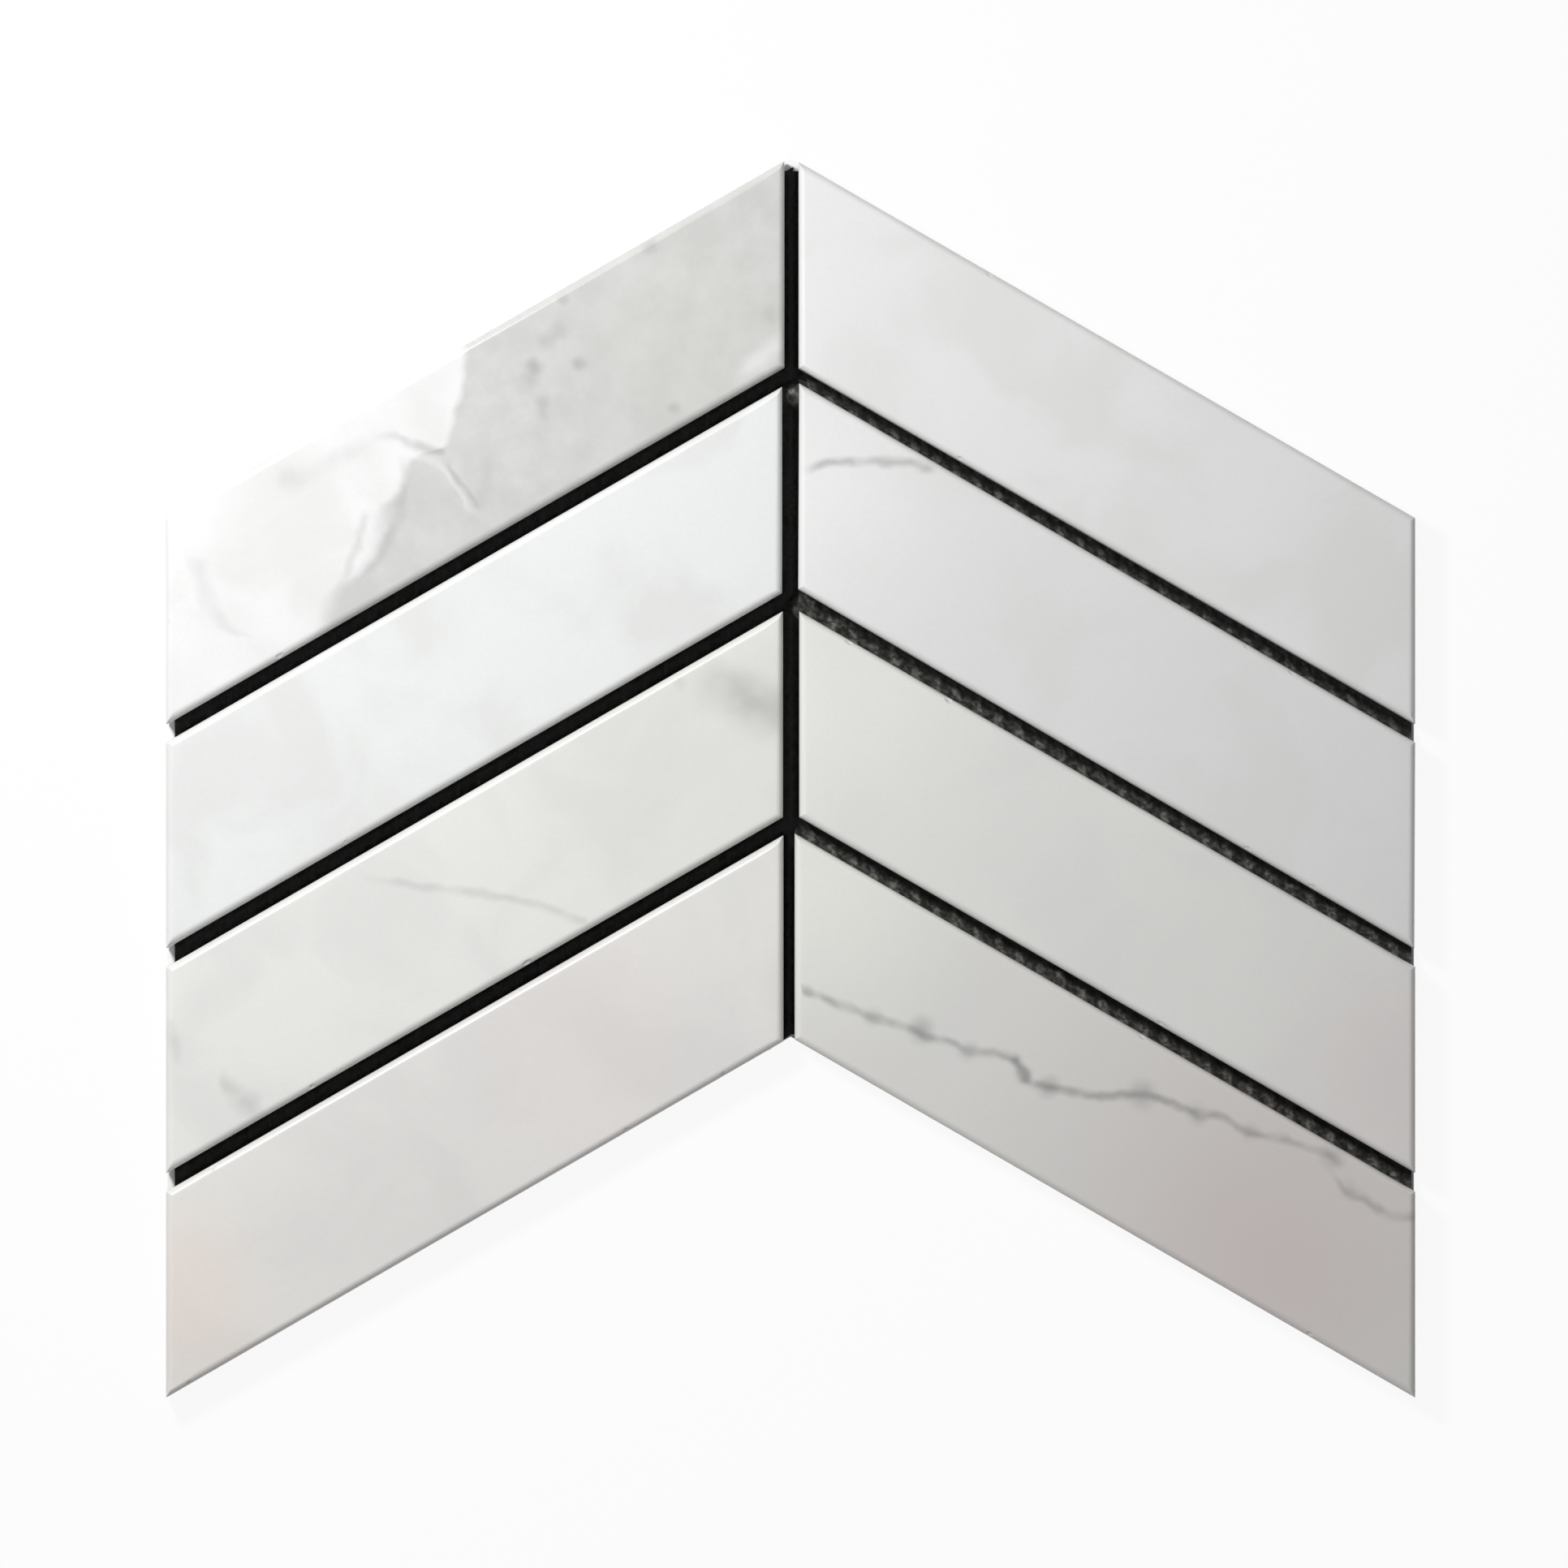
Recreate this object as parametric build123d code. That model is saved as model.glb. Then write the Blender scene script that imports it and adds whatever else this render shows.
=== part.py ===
from build123d import *
import math
import os

# Chevron mosaic sheet of white marble chips, sizes in millimetres.
# It lies on its back, polished face up, with +Y towards the point of the chevron.

# Size of the whole sheet and slant of its long edges
sheet_width = 300.0
slant = 30.0

# Marble chip
chip_thickness = 10.0
chip_side = 49.5
arris_bevel = 1.2

# Mitre joint down the middle, one width and one sideways drift for each row from the top
mitre_joints = [3.4, 3.7, 3.9, 2.7]
mitre_drifts = [0.2, -0.2, 0.1, -0.4]

# Slanted joints square across, from the top, at the outer ends of the chips
slanted_joints = {"left": [3.8, 3.9, 3.8], "right": [3.8, 3.8, 3.9]}

# Turn of a chip laid a little out of line, in degrees about its upper outer corner
chip_turns = {("right", 2): -0.25}

# Net under the chips
strand_pitch = 5.0
strand_width = 1.0
strand_thickness = 0.3
shortest_strand = 25.0

# Adhesive coat behind the net
coat_thickness = 0.4
coat_inset = 1.2
coat_shift_x = 0.6
coat_shift_y = -0.6

# Sizes that follow from those above
half_width = sheet_width / 2
rise = math.tan(math.radians(slant))
square_across = math.cos(math.radians(slant))
rows = len(mitre_joints)
weft_floor = coat_thickness
warp_floor = weft_floor + strand_thickness
chip_floor = warp_floor + strand_thickness
bevel_floor = chip_floor + chip_thickness - arris_bevel
column_side = rows * chip_side + sum(slanted_joints["left"]) / square_across
inner_ends = {
    "left": [drift - gap / 2 for gap, drift in zip(mitre_joints, mitre_drifts)],
    "right": [drift + gap / 2 for gap, drift in zip(mitre_joints, mitre_drifts)],
}
longest_run = max(half_width + inner_ends["left"][0], half_width - inner_ends["right"][0])
sheet_height = column_side + longest_run * rise
base_y = -sheet_height / 2


def chip_outline(column, row):
    """Parallelogram of one chip seen from above, the row counted from 1 at the top."""
    hand = -1 if column == "left" else 1
    outer_x = hand * half_width
    inner_x = inner_ends[column][row - 1]
    run = abs(outer_x - inner_x)
    joints_above = sum(slanted_joints[column][: row - 1]) / square_across
    top_y = base_y + column_side - (row - 1) * chip_side - joints_above
    corners = [
        (outer_x, top_y),
        (inner_x, top_y + run * rise),
        (inner_x, top_y + run * rise - chip_side),
        (outer_x, top_y - chip_side),
    ]
    outline = make_face(Polyline(*corners, close=True))
    pivot = Axis((outer_x, top_y, 0), (0, 0, 1))
    return outline.rotate(pivot, chip_turns.get((column, row), 0))


def make_chip(column, row):
    """One marble chip: sawn sides, flat back and a bevelled arris round the polished face."""
    outline = chip_outline(column, row)
    chip = extrude(Pos(0, 0, chip_floor) * outline, amount=chip_thickness, dir=(0, 0, 1))
    face_edges = chip.faces().sort_by(Axis.Z)[-1].edges()
    return chamfer(face_edges, arris_bevel)


def backing_outline():
    """Chevron outline of the net and its coat, cut a little inside the chips."""
    top_y = base_y + column_side
    corners = [
        (-half_width, base_y),
        (0, base_y + half_width * rise),
        (half_width, base_y),
        (half_width, top_y),
        (0, top_y + half_width * rise),
        (-half_width, top_y),
    ]
    outline = make_face(Polyline(*corners, close=True))
    inner = offset(outline, amount=-coat_inset, kind=Kind.INTERSECTION)
    return Pos(coat_shift_x, coat_shift_y) * inner


def strands(along, floor):
    """A layer of parallel strands cut at the outline, the short ends fallen out."""
    reach = sheet_width
    count = int(reach / strand_pitch) - 1
    pieces = []
    for number in range(count):
        place = (number - (count - 1) / 2) * strand_pitch
        if along == "x":
            strip = Pos(0, place) * Rectangle(reach, strand_width)
        else:
            strip = Pos(place, 0) * Rectangle(strand_width, reach)
        for face in (strip & backing_outline()).faces():
            if face.area > shortest_strand * strand_width:
                pieces.append(extrude(Pos(0, 0, floor) * face, amount=strand_thickness, dir=(0, 0, 1)))
    return Compound(children=pieces)


def write(node, shape):
    """Save one node and name it."""
    shape.label = node
    export_step(shape, f"parts/{node}.step")


os.makedirs("parts", exist_ok=True)
for column in ("left", "right"):
    for row in range(1, rows + 1):
        write(f"marble_chip_{column}_{row}", make_chip(column, row))
write("adhesive_coat", extrude(backing_outline(), amount=coat_thickness, dir=(0, 0, 1)))
write("net_weft_strands", strands("x", weft_floor))
write("net_warp_strands", strands("y", warp_floor))
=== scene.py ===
"""Chevron marble mosaic sheet: finishes, edge wear, mesh backing and photo stage around the CAD frame."""

import math
import random

import bmesh
import bpy
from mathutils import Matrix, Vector


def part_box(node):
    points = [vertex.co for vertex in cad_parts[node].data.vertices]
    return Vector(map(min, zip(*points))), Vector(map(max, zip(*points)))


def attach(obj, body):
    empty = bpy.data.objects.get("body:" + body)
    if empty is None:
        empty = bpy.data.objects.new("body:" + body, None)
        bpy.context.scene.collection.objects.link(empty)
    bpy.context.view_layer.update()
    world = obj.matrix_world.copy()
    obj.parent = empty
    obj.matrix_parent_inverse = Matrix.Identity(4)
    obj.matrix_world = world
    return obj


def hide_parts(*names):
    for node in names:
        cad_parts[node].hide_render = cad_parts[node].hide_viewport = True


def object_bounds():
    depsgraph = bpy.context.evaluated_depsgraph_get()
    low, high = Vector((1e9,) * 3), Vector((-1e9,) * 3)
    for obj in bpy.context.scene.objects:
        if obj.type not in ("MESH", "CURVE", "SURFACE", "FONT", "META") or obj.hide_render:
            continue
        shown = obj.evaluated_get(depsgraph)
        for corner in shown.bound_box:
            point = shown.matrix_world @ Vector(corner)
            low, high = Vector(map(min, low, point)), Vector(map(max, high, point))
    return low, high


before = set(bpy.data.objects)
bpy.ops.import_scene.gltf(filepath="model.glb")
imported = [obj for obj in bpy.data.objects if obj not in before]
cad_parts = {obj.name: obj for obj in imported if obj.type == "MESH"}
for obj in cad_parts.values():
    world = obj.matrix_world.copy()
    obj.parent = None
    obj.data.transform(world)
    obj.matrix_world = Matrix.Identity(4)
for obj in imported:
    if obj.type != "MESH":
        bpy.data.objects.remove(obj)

bl_info = {
    "name": "Marble mosaic sheet",
    "version": (1, 0, 0),
    "blender": (4, 5, 0),
    "location": "3D view, sidebar, Mosaic",
    "description": "Finishes the chips, net and adhesive of a chevron mosaic sheet and sets up its stage",
    "category": "Object",
}

CAD_BOX = [list(corner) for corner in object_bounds()]
HALF_WIDTH = CAD_BOX[1][0]
FACE_HEIGHT = CAD_BOX[1][2]
MM = 0.001
BODY = "root"
COLUMNS = ("left", "right")
ROWS = (1, 2, 3, 4)
CHIPS = [f"marble_chip_{column}_{row}" for column in COLUMNS for row in ROWS]

# How near a corner of a mesh lies to a level, or to an end of its piece, to count as being there
LEVEL = 0.01 * MM
END = 1 * MM


def linear(hex_colour):
    """Linear red, green and blue of an sRGB hex colour."""
    channels = [int(hex_colour[i : i + 2], 16) / 255 for i in (1, 3, 5)]
    return [c / 12.92 if c <= 0.04045 else ((c + 0.055) / 1.055) ** 2.4 for c in channels]


class ChipSettings(bpy.types.PropertyGroup):
    """What a user would change on the marble chips."""

    wave_length: bpy.props.FloatProperty(
        name="Arris wave", description="Length of the waves in a hand-honed arris",
        default=14 * MM, unit="LENGTH")
    wave_depth: bpy.props.FloatProperty(
        name="Arris wave depth", description="How far the arris wanders from a straight line",
        default=0.35 * MM, unit="LENGTH")
    flake_count: bpy.props.IntProperty(
        name="Edge flakes", description="Small flakes broken out of each chip's arrises", default=4, min=0)
    flake_radius: bpy.props.FloatProperty(
        name="Flake radius", description="Radius of the hollow that a flake leaves", default=2.0 * MM,
        unit="LENGTH")
    flake_depth: bpy.props.FloatProperty(
        name="Flake depth", description="Depth of the deepest flake", default=0.4 * MM, unit="LENGTH")
    cloud: bpy.props.FloatVectorProperty(
        name="Soft cloud", description="Colour of the soft clouds in the marble", subtype="COLOR",
        default=linear("#E0E0DE"))
    grey_cloud: bpy.props.FloatVectorProperty(
        name="Grey cloud", description="Colour of the grey cloud in the upper left chip", subtype="COLOR",
        default=linear("#CDCECC"))
    vein: bpy.props.FloatVectorProperty(
        name="Vein", description="Colour of the veins", subtype="COLOR", default=linear("#7E7F7D"))
    vein_stray: bpy.props.FloatProperty(
        name="Vein stray", description="How far a vein strays from its line", default=2.2 * MM, unit="LENGTH")
    cloud_size: bpy.props.FloatProperty(
        name="Cloud size", description="Width of a soft cloud in the marble", default=30 * MM, unit="LENGTH")
    cloud_depth: bpy.props.FloatProperty(
        name="Cloud depth", description="How far a soft cloud hides the ground colour", default=0.5,
        min=0, max=1)
    crystal_size: bpy.props.FloatProperty(
        name="Crystal size", description="Width of a calcite crystal", default=0.9 * MM, unit="LENGTH")


class BackingSettings(bpy.types.PropertyGroup):
    """What a user would change on the net and its adhesive."""

    strand: bpy.props.FloatVectorProperty(
        name="Strand", description="Colour of the coated glass-fibre strands", subtype="COLOR",
        default=linear("#161616"))
    adhesive: bpy.props.FloatVectorProperty(
        name="Adhesive", description="Colour of the cured adhesive", subtype="COLOR",
        default=linear("#0E0E0E"))
    dust: bpy.props.FloatVectorProperty(
        name="Dust", description="Colour of the stone dust on the adhesive's crests", subtype="COLOR",
        default=linear("#7A7975"))
    speck_size: bpy.props.FloatProperty(
        name="Speck size", description="Width of a speck of dust as drawn", default=1.3 * MM, unit="LENGTH")
    dusty_from: bpy.props.FloatProperty(
        name="Dusty from", description="Height over the back from which the adhesive is dusty",
        default=1.5 * MM, unit="LENGTH")
    print_pitch: bpy.props.FloatProperty(
        name="Net pitch", description="Distance between the strands that show through the back of the coat",
        default=5.0 * MM, unit="LENGTH")
    print_width: bpy.props.FloatProperty(
        name="Ridge width", description="Width of the ridge that a strand raises in the coat",
        default=1.7 * MM, unit="LENGTH")
    print_depth: bpy.props.FloatProperty(
        name="Cell depth", description="Depth of the coat's hollows between the strands",
        default=0.22 * MM, unit="LENGTH")
    facet: bpy.props.FloatProperty(
        name="Facet", description="Size of the facets that the joint's adhesive is drawn with",
        default=0.6 * MM, unit="LENGTH")
    lump: bpy.props.FloatProperty(
        name="Lump", description="Width of a lump in the adhesive between the chips",
        default=1.6 * MM, unit="LENGTH")
    lump_height: bpy.props.FloatProperty(
        name="Lump height", description="Height of the lumps", default=0.9 * MM, unit="LENGTH")
    creep: bpy.props.FloatProperty(
        name="Creep", description="How far the adhesive climbs a chip's side", default=0.8 * MM,
        unit="LENGTH")


class StageSettings(bpy.types.PropertyGroup):
    """What a user would change on the floor, lamps and camera."""

    view_width: bpy.props.FloatProperty(
        name="View width", description="Width that the camera sees at the polished face",
        default=376.4 * MM, unit="LENGTH")
    view_x: bpy.props.FloatProperty(
        name="View centre across", description="Where the camera stands across the sheet",
        default=-1.6 * MM, unit="LENGTH")
    view_y: bpy.props.FloatProperty(
        name="View centre along", description="Where the camera stands along the sheet",
        default=-1.1 * MM, unit="LENGTH")
    camera_height: bpy.props.FloatProperty(
        name="Camera height", description="Height of the camera over the polished face",
        default=4.0, unit="LENGTH")
    key_bearing: bpy.props.FloatProperty(
        name="Key bearing", description="Side that the main lamp stands on, turned from +X towards +Y",
        default=math.radians(137), unit="ROTATION")
    key_reach: bpy.props.FloatProperty(
        name="Key reach", description="Distance of the main lamp across the floor", default=0.46,
        unit="LENGTH")
    key_height: bpy.props.FloatProperty(
        name="Key height", description="Height of the main lamp", default=0.6, unit="LENGTH")
    key_size: bpy.props.FloatProperty(
        name="Key size", description="Width of the main lamp", default=0.16, unit="LENGTH")
    key_power: bpy.props.FloatProperty(
        name="Key power", description="Power of the main lamp", default=4.75, unit="POWER")
    fill: bpy.props.FloatProperty(
        name="Fill", description="Strength of the even light from all round", default=0.22, min=0)
    floor_white: bpy.props.FloatProperty(
        name="Floor white", description="Share of the floor that the camera sees as plain white",
        default=0.92, min=0, max=1)


def new_node(tree, kind, feeds, **settings):
    """Adds a shader node, gives it its settings, and sets or links its inputs, named or in order."""
    node = tree.nodes.new("ShaderNode" + kind)
    for name, value in settings.items():
        setattr(node, name, value)
    for name, value in feeds.items() if isinstance(feeds, dict) else enumerate(feeds):
        if isinstance(name, int):
            socket = node.inputs[name]
        else:
            socket = next(s for s in node.inputs if s.enabled and s.name == name)
        if isinstance(value, bpy.types.Node):
            value = next(s for s in value.outputs if s.enabled)
        if isinstance(value, bpy.types.NodeSocket):
            tree.links.new(value, socket)
        elif socket.type == "RGBA" and len(value) == 3:
            socket.default_value = (*value, 1.0)
        else:
            socket.default_value = value
    return node


def new_material(name):
    """An empty material with its output, ready for nodes."""
    material = bpy.data.materials.new(name)
    material.use_nodes = True
    material.node_tree.nodes.clear()
    return material, material.node_tree


def millimetres(tree, shift=(0, 0, 0)):
    """The piece's own coordinates in millimetres, moved by shift."""
    place = new_node(tree, "TexCoord", {}).outputs["Object"]
    return new_node(tree, "Mapping", {"Vector": place, "Scale": (1 / MM,) * 3, "Location": shift})


# Millimetres added to a line's reach across, so that a level one has some too
LEAST_REACH = 0.001


def line_through(tree, along, points):
    """Across-value, in millimetres, of a smooth line through points at the along-value."""
    heights = [point[1] for point in points]
    start, end = points[0][0], points[-1][0]
    low = min(heights)
    high = max(heights) + LEAST_REACH
    share = new_node(tree, "MapRange", [along, start, end, 0.0, 1.0])
    curve = new_node(tree, "FloatCurve", {"Value": share})
    line = curve.mapping.curves[0]
    while len(line.points) < len(points):
        line.points.new(0.5, 0.5)
    for handle, (step, height) in zip(line.points, points):
        handle.location = ((step - start) / (end - start), (height - low) / (high - low))
    curve.mapping.update()
    return new_node(tree, "MapRange", [curve, 0.0, 1.0, low, high])


# Ground colour of each chip: partly the slab's own tone, partly painted shade darker towards the lower right
GROUND_AND_PAINTED_SHADE = {
    "left_1": "#F2F2F2", "left_2": "#EFF1F0", "left_3": "#EDEDEA", "left_4": "#ECEBE8",
    "right_1": "#ECECEC", "right_2": "#E7E7E7", "right_3": "#E6E6E3", "right_4": "#E1E0DD",
}

# Marks in the stone, in millimetres on the sheet: each a line through a few points, from low to high.
# along: the axis that the points run along. width: half the mark's width. depth: its share of the colour.
# fade: over what length its ends run out. light: a white streak in place of a grey vein.
# All were placed one by one.
MARKS = {
    "left_1": [
        dict(points=[(-124.8, 73.4), (-119.6, 71.9), (-114.3, 73.9), (-107.5, 78.1), (-101.3, 80.2),
                     (-96.6, 83.3)], width=2.0, depth=0.12, fade=(4, 10)),
        dict(points=[(-101.3, 80.2), (-96.6, 82.6), (-91.9, 80.7), (-86.7, 79.4), (-82.5, 78.4)],
             width=1.1, depth=0.36, fade=(9, 2)),
        dict(points=[(-94.5, 80.0), (-90.5, 77.9), (-86.5, 76.6), (-83.5, 75.0), (-81.0, 70.9), (-79.4, 67.9),
                     (-77.3, 65.0), (-73.7, 63.0)], width=0.9, depth=0.36, fade=(2, 3), light=True),
        dict(points=[(-82.0, 75.5), (-80.4, 72.6), (-78.7, 70.0), (-76.7, 67.4), (-74.7, 65.0)],
             width=0.9, depth=0.3, fade=(1, 1)),
        dict(along="y", points=[(53.0, -103.0), (56.2, -101.0), (62.3, -97.6), (69.0, -96.6), (74.0, -95.0)],
             width=1.2, depth=0.3, fade=(5, 4), light=True),
        dict(along="y", points=[(47.0, -104.5), (50.0, -101.2), (56.2, -97.3), (65.4, -93.5), (73.1, -92.7),
                                (78.0, -93.0)], width=1.1, depth=0.2, fade=(5, 3)),
        dict(along="y", points=[(46.0, -109.0), (52.0, -105.6), (58.0, -103.6), (65.0, -101.6)],
             width=1.0, depth=0.2, fade=(4, 3)),
        dict(along="y", points=[(34.0, -130.0), (35.5, -133.8), (40.6, -138.8), (48.4, -141.5),
                                (57.8, -144.1)], width=1.8, depth=0.13, fade=(1, 8)),
        dict(along="y", points=[(61.0, -78.3), (68.0, -74.0), (74.0, -72.9), (80.0, -73.5)],
             width=1.2, depth=0.1, fade=(2, 6)),
        dict(points=[(-14.0, 97.0), (-8.0, 100.6), (-2.0, 105.0)], width=2.6, depth=0.6, fade=(5, 0),
             light=True),
    ],
    "left_3": [
        dict(points=[(-27.0, 24.0), (-21.7, 23.0), (-15.6, 21.4), (-10.9, 19.4), (-6.6, 17.4), (-2.0, 16.6)],
             width=4.6, depth=0.27, fade=(14, 0)),
        dict(points=[(-105.6, -21.5), (-99.6, -24.0), (-93.7, -25.0), (-84.7, -26.3), (-73.6, -27.4),
                     (-66.1, -28.9), (-58.7, -31.0), (-52.7, -33.0), (-49.0, -34.0)],
             width=0.9, depth=0.21, fade=(14, 1)),
        dict(along="y", points=[(-69.0, -146.8), (-63.2, -148.4), (-57.0, -149.4)],
             width=1.4, depth=0.2, fade=(4, 3)),
        dict(points=[(-137.5, -72.0), (-135.4, -74.2), (-130.2, -77.6), (-126.0, -79.4)],
             width=2.6, depth=0.26, fade=(2, 4)),
    ],
    "right_2": [
        dict(points=[(1.9, 74.6), (4.9, 75.1), (10.3, 76.1), (16.3, 76.4), (22.4, 76.4), (28.4, 75.8),
                     (35.0, 74.6)], width=0.95, depth=0.46, fade=(6, 2)),
    ],
    "right_4": [
        dict(points=[(2.6, -50.8), (4.0, -51.4), (6.6, -52.0), (10.4, -53.5), (15.3, -55.0), (19.8, -56.9),
                     (25.0, -58.5), (29.2, -60.1), (35.3, -62.4), (38.9, -63.3), (42.4, -65.5), (48.0, -65.9),
                     (52.0, -66.2), (55.0, -67.2)], width=0.95, depth=0.52, fade=(0, 1)),
        dict(along="y", points=[(-73.4, 56.9), (-72.4, 56.2), (-70.5, 55.9), (-68.0, 54.6), (-66.4, 53.6)],
             width=1.1, depth=0.68, fade=(1, 1)),
        dict(points=[(55.6, -72.2), (57.5, -72.9), (62.3, -74.0), (67.9, -75.2), (73.8, -76.0), (79.8, -75.8),
                     (85.8, -76.0), (89.7, -77.2), (94.5, -78.8), (97.7, -80.4), (102.4, -80.9),
                     (105.0, -82.2)], width=0.95, depth=0.54, fade=(1, 6)),
        dict(points=[(97.7, -80.4), (102.4, -80.9), (107.2, -83.4), (110.7, -84.8), (114.5, -85.8),
                     (118.3, -86.2), (121.5, -87.7), (124.9, -88.6), (128.1, -89.7), (130.9, -91.4),
                     (133.3, -92.6)], width=0.9, depth=0.42, fade=(6, 4)),
        dict(points=[(128.9, -92.8), (130.6, -95.2), (132.3, -97.4), (134.0, -99.0), (137.8, -100.8),
                     (140.6, -102.8), (144.4, -104.4), (150.0, -105.0)], width=1.0, depth=0.42, fade=(5, 0)),
    ],
}

# Small dark inclusions: place on the sheet in millimetres, radius, share of the vein colour
SPOTS = {
    "left_1": [(-34.2, 127.8, 2.0, 0.26), (-54.6, 115.5, 1.6, 0.26), (-56.0, 107.6, 2.4, 0.2),
               (-58.6, 105.2, 2.2, 0.24), (-61.2, 99.2, 2.0, 0.42), (-62.6, 96.2, 2.2, 0.2),
               (-50.8, 99.7, 1.8, 0.36), (-59.6, 90.4, 2.0, 0.26), (-59.4, 87.6, 2.0, 0.18),
               (-28.0, 88.9, 1.6, 0.26), (-4.9, 111.6, 2.2, 0.14), (-119.6, 71.9, 3.2, 0.08)],
    "left_3": [(-26.8, 22.6, 1.5, 0.14), (-5.0, 15.6, 6.0, 0.12), (-12.0, 20.4, 6.5, 0.13)],
    "right_4": [(4.0, -51.0, 1.6, 0.34), (19.8, -56.9, 2.2, 0.3), (31.4, -60.2, 3.2, 0.42),
                (42.4, -65.5, 2.2, 0.3), (55.9, -71.0, 2.1, 0.5), (61.8, -73.9, 2.6, 0.45),
                (84.5, -75.9, 3.6, 0.4), (97.5, -80.4, 2.6, 0.25), (110.7, -84.8, 2.2, 0.25),
                (129.8, -90.6, 3.0, 0.3), (134.2, -98.6, 2.4, 0.22)],
}

# Broad faint tints, from iron and clay or from paler stone: place on the sheet in millimetres, radius, share
# and colour of the tint
TINTS = {
    "left_1": [(-22.0, 108.0, 34.0, 0.26, "#D2D4C8")],
    "left_3": [(-20.0, 5.0, 45.0, 0.25, "#DDE0D6")],
    "left_4": [(-144.0, -114.0, 16.0, 0.22, "#F4DCCD"), (-144.0, -130.0, 18.0, 0.3, "#F4DCCD"),
               (-50.0, -64.0, 34.0, 0.3, "#E4D6D6"), (-92.0, -108.0, 40.0, 0.25, "#DCD6D4")],
    "right_2": [(4.0, 70.0, 32.0, 0.7, "#F5F6F5")],
    "right_3": [(6.0, 18.0, 30.0, 0.5, "#F3F4EE"), (146.0, -70.0, 28.0, 0.3, "#E0CCCE")],
    "right_4": [(112.0, -104.0, 56.0, 0.5, "#D2C6C2"), (108.0, -112.0, 22.0, 0.16, "#D9C2C4"),
                (126.0, -122.0, 24.0, 0.18, "#D9C2C4"), (8.0, -28.0, 30.0, 0.75, "#F0F1EA")],
}

# Left edge of the grey cloud that fills the upper left chip: y, then x
GREY_EDGE = [(38.0, -114.0), (44.7, -112.2), (49.4, -106.5), (56.2, -101.8), (64.6, -100.6), (68.0, -96.0),
             (74.5, -92.9), (78.0, -90.0), (80.7, -83.5), (87.5, -81.4), (95.3, -79.4), (101.6, -79.2)]

# Sizes in the stone, in millimetres: bends of a vein, patches along it, mottles in the grey cloud, and how
# far a mark runs on past its end points
VEIN_BEND = 5.0
VEIN_PATCH = 6.0
CLOUD_MOTTLE = 9.0
MARK_RUN_ON = 0.5

# Step along the slab, in millimetres, from the stretch that one chip's clouds come from to the next chip's
SLAB_STEP = (211, 97, 13)

# How far under the polished face, in millimetres, the honed arris and the sawn sides come in and are full
HONED = (0.03, 0.3)
SAWN = (1.8, 2.2)


def mark_strength(tree, place, patches, points, width, depth, fade, along="x"):
    """Strength, from 0 to 1, of one vein or streak: soft across, patchy along it, faded at its ends."""
    axes = new_node(tree, "SeparateXYZ", {"Vector": place})
    run, across = (axes.outputs[name] for name in ("XY" if along == "x" else "YX"))
    offset = new_node(tree, "Math", [across, line_through(tree, run, points)], operation="SUBTRACT")
    away = new_node(tree, "Math", [offset], operation="ABSOLUTE")
    body = new_node(tree, "MapRange", [away, 0.0, width * 2, depth, 0.0], interpolation_type="SMOOTHSTEP")
    start, end = points[0][0], points[-1][0]
    rise = new_node(tree, "MapRange", [run, start - MARK_RUN_ON, start + fade[0]],
                    interpolation_type="SMOOTHSTEP")
    fall = new_node(tree, "MapRange", [run, end - fade[1], end + MARK_RUN_ON, 1.0, 0.0],
                    interpolation_type="SMOOTHSTEP")
    for factor in (rise, fall, patches):
        body = new_node(tree, "Math", [body, factor], operation="MULTIPLY")
    return body


def spot_strength(tree, place, x, y, radius, depth):
    """Strength, from 0 to 1, of a soft round spot in the polished face, gone at 1.5 times its radius."""
    away = new_node(tree, "VectorMath", [place, (x, y, FACE_HEIGHT / MM)], operation="DISTANCE")
    return new_node(tree, "MapRange", [away, 0.0, radius * 1.5, depth, 0.0], interpolation_type="SMOOTHSTEP")


def grey_cloud(tree, place, strayed):
    """Strength, from 0 to 1, of the mottled grey cloud in the upper left chip, softer towards its foot."""
    axes = new_node(tree, "SeparateXYZ", {"Vector": strayed})
    edge = line_through(tree, axes.outputs["Y"], GREY_EDGE)
    inside = new_node(tree, "Math", [axes.outputs["X"], edge], operation="SUBTRACT")
    softness = new_node(tree, "MapRange", [axes.outputs["Y"], 50.0, 84.0, 5.5, 2.0],
                        interpolation_type="SMOOTHSTEP")
    grey = new_node(tree, "MapRange", [inside, -0.6, softness], interpolation_type="SMOOTHSTEP")
    mottle = new_node(tree, "TexNoise", {
        "Vector": place, "Scale": 1 / CLOUD_MOTTLE, "Detail": 5.0, "Roughness": 0.6})
    mottle = new_node(tree, "MapRange", [mottle, 0.34, 0.62, 0.74, 1.0])
    return new_node(tree, "Math", [grey, mottle], operation="MULTIPLY")


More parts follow.
